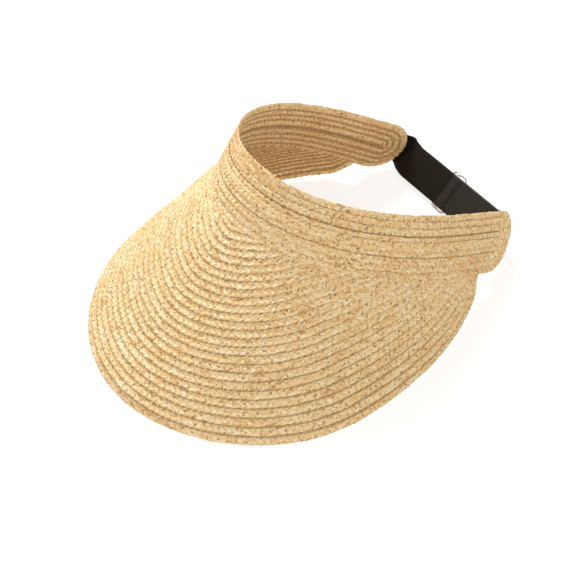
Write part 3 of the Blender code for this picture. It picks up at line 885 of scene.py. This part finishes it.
# Elastic, in the strap's own directions ------------------------------------------
ALONG = Vector((1.0, 0.0, 0.0))
ACROSS = Vector((0.0, sin(STRAP_TILT), cos(STRAP_TILT)))
FACE = ALONG.cross(ACROSS)
FRONT_LAYER = 2 * (STRAP_THICKNESS + LAYER_GAP + WIRE_RADIUS) + LAYER_GAP
RING_BAR_DEPTH = FRONT_LAYER / 2
CENTRE_BAR_DEPTH = FRONT_LAYER - STRAP_THICKNESS / 2 - LAYER_GAP - WIRE_RADIUS
SIDE_BAR_DEPTH = -(STRAP_THICKNESS / 2 + LAYER_GAP + WIRE_RADIUS)
OUTER_SKIN = SEWN_GAP + STRAP_THICKNESS / 2
INNER_SKIN = OUTER_SKIN + STRAP_THICKNESS + TOUCH_GAP


class StrapLine:
    """Straight middle line of the strap between the band's two rear ends."""

    def __init__(self, band):
        end, _, _, _ = band.frame(BAND_HALF_LENGTH)
        self.end_x = end.x
        self.origin = Vector((0.0, end.y + STRAP_BEHIND_END, end.z + STRAP_ABOVE_END))
        self.ring_tab_x = end.x - RING_TO_BAND
        self.ring_strap_x = self.ring_tab_x - RING_LENGTH
        self.adjuster_x = self.ring_strap_x - ADJUSTER_TO_RING

    def point(self, x, depth=0.0):
        """Point at x and a depth out of the strap's face."""
        return self.origin + ALONG * x + FACE * depth


def satin_profile(width):
    """Half-round edged outline (across, out) with close points along both faces."""
    half = width / 2
    skin = STRAP_THICKNESS / 2
    outline = []
    for sign in (1, -1):
        for i in range(FACE_STEPS + 1):
            outline.append((sign * (half - skin) * (2 * i / FACE_STEPS - 1), sign * skin))
        for i in range(1, EDGE_STEPS):
            angle = pi / 2 - pi * i / EDGE_STEPS
            outline.append((sign * (half - skin + skin * cos(angle)), sign * skin * sin(angle)))
    return outline


def ribbed_profile(width):
    """Outline with lengthwise ribs on both faces."""
    half = width / 2 - STRAP_THICKNESS / 4
    skin = STRAP_THICKNESS / 2
    steps = RIBS * RIB_STEPS
    outline = []
    for sign in (1, -1):
        for i in range(steps + 1):
            drop = RIB_DEPTH * (1 + cos(2 * pi * i / RIB_STEPS)) / 2
            outline.append((sign * half * (2 * i / steps - 1), sign * (skin - drop)))
        outline.append((sign * (half + STRAP_THICKNESS / 4), 0.0))
    return outline


def mark_cloth(uv, old, face, start, end, around):
    """UV of the faces between the old corners and the new face's, in metres."""
    new = list(face.verts)
    numbers = {vert: i for ring in (old, new) for i, vert in enumerate(ring)}
    for edge in face.edges:
        side = [item for item in edge.link_faces if item is not face][0]
        ring = [numbers[vert] for vert in side.verts]
        wraps = max(ring) - min(ring) > 1
        for loop in side.loops:
            number = numbers[loop.vert]
            if wraps and number == 0:
                number = len(new)
            loop[uv].uv = (end if loop.vert in new else start, around[number])


def ribbon_mesh(name, stations, profile):
    """Profile drawn out along stations of (centre, across, normal), and the length drawn."""
    bm = bmesh.new()
    uv = bm.loops.layers.uv.new("cloth")
    around = [0.0]
    for a, b in zip(profile, profile[1:] + profile[:1]):
        around.append(around[-1] + sqrt((a[0] - b[0]) ** 2 + (a[1] - b[1]) ** 2))

    def place(verts, station):
        centre, across, normal = station
        for vert, (side, out) in zip(verts, profile):
            vert.co = centre + across * side + normal * out + SHIFT

    face = bm.faces.new([bm.verts.new() for _ in profile])
    place(face.verts, stations[0])
    start = face
    length = 0.0
    for before, station in zip(stations, stations[1:]):
        old = list(face.verts)
        grown = bmesh.ops.extrude_face_region(bm, geom=[face])["geom"]
        if face is not start:
            bm.faces.remove(face)
        face = [item for item in grown if isinstance(item, bmesh.types.BMFace)][0]
        place(face.verts, station)
        step = (station[0] - before[0]).length
        mark_cloth(uv, old, face, length, length + step, around)
        length += step
    bmesh.ops.recalc_face_normals(bm, faces=bm.faces)
    return shade_smooth(take_mesh(bm, name), CLOTH_SHARP_ANGLE), length


def curve_stations(places, acrosses, steps):
    """Stations on the Bezier curve through control places and width directions."""
    nudge = 1e-4
    stations = []
    for i in range(steps + 1):
        t = i / steps
        tangent = bezier(places, min(t + nudge, 1.0)) - bezier(places, max(t - nudge, 0.0))
        across = bezier(acrosses, t)
        across -= tangent * (across.dot(tangent) / tangent.length_squared)
        across.normalize()
        normal = tangent.normalized().cross(across)
        stations.append((bezier(places, t), across, normal))
    return stations


def half_turn(line, x, depth, radius, towards, start, end):
    """Stations round a bar at x, from a start to an end angle in degrees.

    Towards is the side the elastic turns to, 1 for +X or -1 for -X.
    """
    stations = []
    for i in range(TURN_STEPS + 1):
        angle = radians(start + (end - start) * i / TURN_STEPS)
        normal = ALONG * (towards * cos(angle)) + FACE * sin(angle)
        stations.append((line.point(x, depth) + normal * radius, ACROSS, normal))
    return stations


def same_side(stations):
    """The stations with directions turned round where the elastic would flip between two."""
    turned = [stations[0]]
    for centre, across, normal in stations[1:]:
        _, last_across, last_normal = turned[-1]
        if across.dot(last_across) < 0:
            across = -across
        if normal.dot(last_normal) < 0:
            normal = -normal
        turned.append((centre, across, normal))
    return turned


def strap_stations(band, line):
    """From the -X end's outer face, round that end, and straight to the ring's bar."""
    stations = []
    sewn_end = BAND_HALF_LENGTH - SEWN_END_MARGIN
    for i in range(SEWN_STEPS + 1):
        s = sewn_end - STRAP_SEWN_LENGTH * (1 - i / SEWN_STEPS)
        _, _, across, face = band.frame(s)
        stations.append((band.point(-s, SEWN_HEIGHT, OUTER_SKIN), mirrored(across), mirrored(face)))
    leave, across, _ = stations[-1]
    _, along, _, _ = band.frame(BAND_HALF_LENGTH)
    turn_end = line.point(-line.end_x + STRAP_TURN)
    control = [
        leave,
        leave + mirrored(along) * STRAP_LEAVE_REACH,
        turn_end - ALONG * STRAP_TURN_REACH + Vector((0.0, STRAP_TURN_BULGE, 0.0)),
        turn_end,
    ]
    acrosses = [across, across, ACROSS, ACROSS]
    stations += curve_stations(control, acrosses, STRAP_TURN_STEPS)[1:]
    for i in range(1, STRAP_STEPS + 1):
        x = turn_end.x + (line.ring_strap_x - turn_end.x) * i / STRAP_STEPS
        stations.append((line.point(x), ACROSS, -FACE))
    stations += half_turn(line, line.ring_strap_x, RING_BAR_DEPTH, RING_BAR_DEPTH, 1, -90, 90)[1:]
    return same_side(stations)


def return_stations(line):
    """The strap's second layer, from the wrap at the ring back to the folded end."""
    start = line.ring_strap_x - TOUCH_GAP
    end = line.adjuster_x + FOLD_LENGTH + TOUCH_GAP
    stations = []
    for i in range(RETURN_STEPS + 1):
        x = start + (end - start) * i / RETURN_STEPS
        stations.append((line.point(x, FRONT_LAYER), ACROSS, FACE))
    return stations


def folded_stations(line):
    """The strap's end, folded round the adjuster's centre bar."""
    radius = WIRE_RADIUS + LAYER_GAP + STRAP_THICKNESS / 2
    x = line.adjuster_x
    stations = [(line.point(x + FOLD_LENGTH, FRONT_LAYER), ACROSS, FACE)]
    stations += half_turn(line, x, CENTRE_BAR_DEPTH, radius, -1, 90, -90)
    stations.append((line.point(x + FOLD_LENGTH, CENTRE_BAR_DEPTH - radius), ACROSS, -FACE))
    return stations


def tab_stations(band, line):
    """A doubled piece of elastic round the ring's other bar, sewn inside the +X end."""
    x = line.ring_tab_x
    sewn_s = BAND_HALF_LENGTH - TAB_SEWN_LENGTH
    outer = (OUTER_SKIN, 0.0, TAB_OUTER_TURN, TAB_OUTER_TURN)
    inner = (INNER_SKIN, FRONT_LAYER, TAB_INNER_TURN, TAB_INNER_REACH)
    legs = []
    for skin, depth, turn, reach in (outer, inner):
        leg = []
        for i in range(TAB_SEWN_STEPS + 1):
            s = sewn_s + (TAB_SEWN_LENGTH - turn) * i / TAB_SEWN_STEPS
            _, along, across, face = band.frame(s)
            leg.append((band.point(s, SEWN_HEIGHT, -BAND_DEPTH - skin), across, -face))
        start = leg[-1][0]
        finish = line.point(x + WIRE_RADIUS, depth)
        control = [start, start + along * reach, finish + ALONG * reach, finish]
        leg += curve_stations(control, [across, across, ACROSS, ACROSS], TAB_TURN_STEPS)[1:]
        legs.append(leg)
    wrap = half_turn(line, x, RING_BAR_DEPTH, RING_BAR_DEPTH, -1, -90, 90)
    return same_side(legs[0] + wrap + legs[1][::-1])


# Wire and thread -----------------------------------------------------------------
def wire_mesh(name, points, radius, closed=True, resolution=5):
    """Round wire or thread through the points, as a mesh."""
    curve = bpy.data.curves.new(name, "CURVE")
    curve.dimensions = "3D"
    spline = curve.splines.new("POLY")
    spline.points.add(len(points) - 1)
    for knot, point in zip(spline.points, points):
        knot.co = (*(point + SHIFT), 1.0)
    spline.use_cyclic_u = closed
    curve.bevel_depth = radius
    curve.bevel_resolution = resolution
    curve.use_fill_caps = not closed
    mesh = evaluated_mesh(bpy.data.objects.new(name, curve))
    bm = bmesh.new()
    bm.from_mesh(mesh)
    bmesh.ops.remove_doubles(bm, verts=bm.verts, dist=0.001 * MM)
    bmesh.ops.recalc_face_normals(bm, faces=bm.faces)
    bm.to_mesh(mesh)
    bm.free()
    return shade_smooth(mesh, WIRE_SHARP_ANGLE)


def rounded_rectangle(half_x, half_w, corner, side_steps=0):
    """Outline points (x, w) with round corners, and side_steps along each side along x."""
    flat = half_x - corner
    outline = []
    for quarter in range(4):
        sign_x = 1 if quarter in (0, 3) else -1
        sign_w = 1 if quarter in (0, 1) else -1
        for i in range(CORNER_STEPS + 1):
            angle = (quarter + i / CORNER_STEPS) * pi / 2
            x = sign_x * flat + corner * cos(angle)
            outline.append((x, sign_w * (half_w - corner) + corner * sin(angle)))
        if quarter in (0, 2):
            for i in range(1, side_steps):
                outline.append((sign_x * flat * (1 - 2 * i / side_steps), sign_w * half_w))
    return outline


def ring_points(line):
    """A flat loop, one bar held by the ring tab and the other by the strap."""
    half_w = STRAP_WIDTH / 2 + RING_CLEARANCE + WIRE_RADIUS
    middle = (line.ring_tab_x + line.ring_strap_x) / 2
    points = []
    for x, w in rounded_rectangle(RING_LENGTH / 2, half_w, RING_CORNER):
        points.append(line.point(middle + x, RING_BAR_DEPTH) + ACROSS * w)
    return points


def adjuster_points(line):
    """A loop behind the strap whose long sides rise to the centre bar in front of it."""
    half_w = STRAP_WIDTH / 2 + RING_CLEARANCE + WIRE_RADIUS + ADJUSTER_PINCH
    half_x = ADJUSTER_LENGTH / 2
    flat = half_x - ADJUSTER_CORNER
    points = []
    for x, w in rounded_rectangle(half_x, half_w, ADJUSTER_CORNER, HUMP_STEPS):
        hump = cos(pi / 2 * x / flat) ** 2 if abs(x) < flat else 0.0
        place = line.point(line.adjuster_x + x, SIDE_BAR_DEPTH)
        place += FACE * (hump * (CENTRE_BAR_DEPTH - SIDE_BAR_DEPTH))
        pinch = hump * (ADJUSTER_PINCH if w > 0 else -ADJUSTER_PINCH)
        points.append(place + ACROSS * (w - pinch))
    return points


def centre_bar_points(line):
    """The adjuster's bar across the strap, in front of it."""
    half = STRAP_WIDTH / 2 + RING_CLEARANCE + WIRE_RADIUS
    middle = line.point(line.adjuster_x, CENTRE_BAR_DEPTH)
    return [middle - ACROSS * half, middle + ACROSS * half]


def joined(name, first, second):
    """Two meshes as one."""
    bm = bmesh.new()
    bm.from_mesh(first)
    bm.from_mesh(second)
    return take_mesh(bm, name)


def zigzag_points(centre, along, across, normal, width):
    """Zigzag of stitches across the elastic, on its face."""
    lifted = centre + normal * (STRAP_THICKNESS / 2 + STITCH_LIFT)
    half = width / 2 - TACK_MARGIN
    count = round(2 * half / ZIGZAG_PITCH)
    points = []
    for i in range(count + 1):
        reach = ZIGZAG_REACH if i % 2 else -ZIGZAG_REACH
        points.append(lifted + across * (half * (2 * i / count - 1)) + along * reach)
    return points


# Making the pieces ---------------------------------------------------------------
def make_braids(band):
    """Every row of the brim, and the two braids of the headband."""
    raffia = raffia_material()
    period = plait_period()
    brim = BrimSurface(band)
    braids = [(f"brim_row_{row + 1:02d}", brim_row_route(brim, row), 1) for row in range(BRIM_ROWS)]
    braids.append(("band_centre_row", centre_row_route(band), 0))
    braids.append(("band_coil", coil_route(band), -1))
    for index, (node, route, hidden) in enumerate(braids):
        mesh = lay_plait(f"plait_{node}", route, period, index, hidden)
        add_piece(f"plait_{node}", mesh, raffia, "root", "raffia_braid", node)
    bpy.data.meshes.remove(period)


def make_elastic(band, line):
    """The strap, its second layer, its folded end and the tab that holds the ring."""
    satin = satin_material()
    ribbed = ribbed_material()
    mesh, length = ribbon_mesh("satin_strap", strap_stations(band, line), satin_profile(STRAP_WIDTH))
    strap = add_piece("satin_strap", mesh, satin, "root", "black_elastic", "elastic_strap")

    mesh, length = ribbon_mesh("ribbed_return_run", return_stations(line), ribbed_profile(STRAP_WIDTH))
    run = add_piece("ribbed_return_run", mesh, ribbed, None, "ribbed_elastic", "strap_return_run")
    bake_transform(run)

    mesh, length = ribbon_mesh("ribbed_folded_end", folded_stations(line), ribbed_profile(STRAP_WIDTH))
    fold = add_piece("ribbed_folded_end", mesh, ribbed, "adjuster", "ribbed_elastic", "strap_folded_end")

    mesh, length = ribbon_mesh("ribbed_ring_tab", tab_stations(band, line), ribbed_profile(TAB_WIDTH))
    tab = add_piece("ribbed_ring_tab", mesh, ribbed, "root", "ribbed_elastic", "ring_tab")


def make_wire(line):
    """The ring and the adjuster."""
    bright = wire_material()
    mesh = wire_mesh("ring_wire", ring_points(line), WIRE_RADIUS)
    add_piece("ring_wire", mesh, bright, "ring", "bright_wire", "strap_ring")
    loop = wire_mesh("adjuster_loop", adjuster_points(line), WIRE_RADIUS)
    bar = wire_mesh("adjuster_bar", centre_bar_points(line), WIRE_RADIUS, closed=False)
    mesh = shade_smooth(joined("adjuster_wire", loop, bar), WIRE_SHARP_ANGLE)
    add_piece("adjuster_wire", mesh, bright, "adjuster", "bright_wire", "slide_adjuster")


def make_stitches(band, line):
    """Zigzags where the strap's end, its folded end and the ring tab are sewn."""
    thread = thread_material()

    def stitch(name, body, centre, along, across, normal, width):
        points = zigzag_points(centre, along, across, normal, width)
        mesh = wire_mesh(f"stitches_{name}", points, STITCH_RADIUS, closed=False, resolution=2)
        add_piece(f"stitches_{name}", mesh, thread, body, "black_thread", f"tack_{name}")

    centre = line.point(line.adjuster_x + FOLD_LENGTH - TACK_LENGTH, FRONT_LAYER)
    stitch("folded_end", "adjuster", centre, ALONG, ACROSS, FACE, STRAP_WIDTH)

    s = BAND_HALF_LENGTH - SEWN_END_MARGIN - STRAP_SEWN_LENGTH / 2
    _, along, across, face = (mirrored(part) for part in band.frame(s))
    centre = band.point(-s, SEWN_HEIGHT, OUTER_SKIN)
    stitch("strap_end", "root", centre, along, across, face, STRAP_WIDTH)

    s = BAND_HALF_LENGTH - TAB_OUTER_TURN - TAB_SEWN_LENGTH / 2
    _, along, across, face = band.frame(s)
    centre = band.point(s, SEWN_HEIGHT, -BAND_DEPTH - INNER_SKIN)
    stitch("ring_tab", "root", centre, along, across, -face, TAB_WIDTH)


# Floor, light and camera ---------------------------------------------------------
def make_floor():
    """A sheet of paper just under the visor."""
    bm = bmesh.new()
    bmesh.ops.create_grid(bm, x_segments=2, y_segments=2, size=FLOOR_SIZE / 2)
    bmesh.ops.translate(bm, verts=bm.verts, vec=(0.0, 0.0, -TOUCH_GAP))
    mesh = take_mesh(bm, "floor")
    mesh.materials.append(paper_material())
    floor = bpy.data.objects.new("floor", mesh)
    bpy.context.collection.objects.link(floor)


def add_area_light(name, place, size, power):
    """A square lamp turned to the visor."""
    light = bpy.data.lights.new(name, "AREA")
    light.size = size
    light.energy = power
    lamp = bpy.data.objects.new(name, light)
    lamp.location = place
    lamp.rotation_euler = (LIGHT_AIM - place).to_track_quat("-Z", "Y").to_euler()
    bpy.context.collection.objects.link(lamp)


def make_light():
    """A bright room, a key lamp behind the wearer's right and a broad fill before the left."""
    world = bpy.data.worlds.new("studio")
    world.use_nodes = True
    background = world.node_tree.nodes["Background"]
    background.inputs["Color"].default_value = (1.0, 1.0, 1.0, 1.0)
    background.inputs["Strength"].default_value = ROOM_LIGHT
    bpy.context.scene.world = world
    add_area_light("key", KEY_PLACE, KEY_SIZE, KEY_POWER)
    add_area_light("fill", FILL_PLACE, FILL_SIZE, FILL_POWER)
    bpy.context.scene.view_settings.view_transform = "Standard"


def make_camera():
    """From above, in front of the wearer's left."""
    level = cos(CAMERA_ELEVATION)
    back = Vector((sin(CAMERA_AZIMUTH) * level, -cos(CAMERA_AZIMUTH) * level, sin(CAMERA_ELEVATION)))
    camera = bpy.data.cameras.new("camera")
    camera.lens = CAMERA_LENS
    camera.clip_start = 0.05
    holder = bpy.data.objects.new("camera", camera)
    holder.rotation_mode = "QUATERNION"
    holder.rotation_quaternion = Quaternion(back, CAMERA_ROLL) @ (-back).to_track_quat("-Z", "Y")
    holder.location = CAMERA_AIM + back * CAMERA_DISTANCE
    bpy.context.collection.objects.link(holder)
    bpy.context.scene.camera = holder


band_surface = HeadbandSurface()
strap_line = StrapLine(band_surface)
make_camera()
make_floor()
make_light()
make_braids(band_surface)
make_elastic(band_surface, strap_line)
make_wire(strap_line)
make_stitches(band_surface, strap_line)
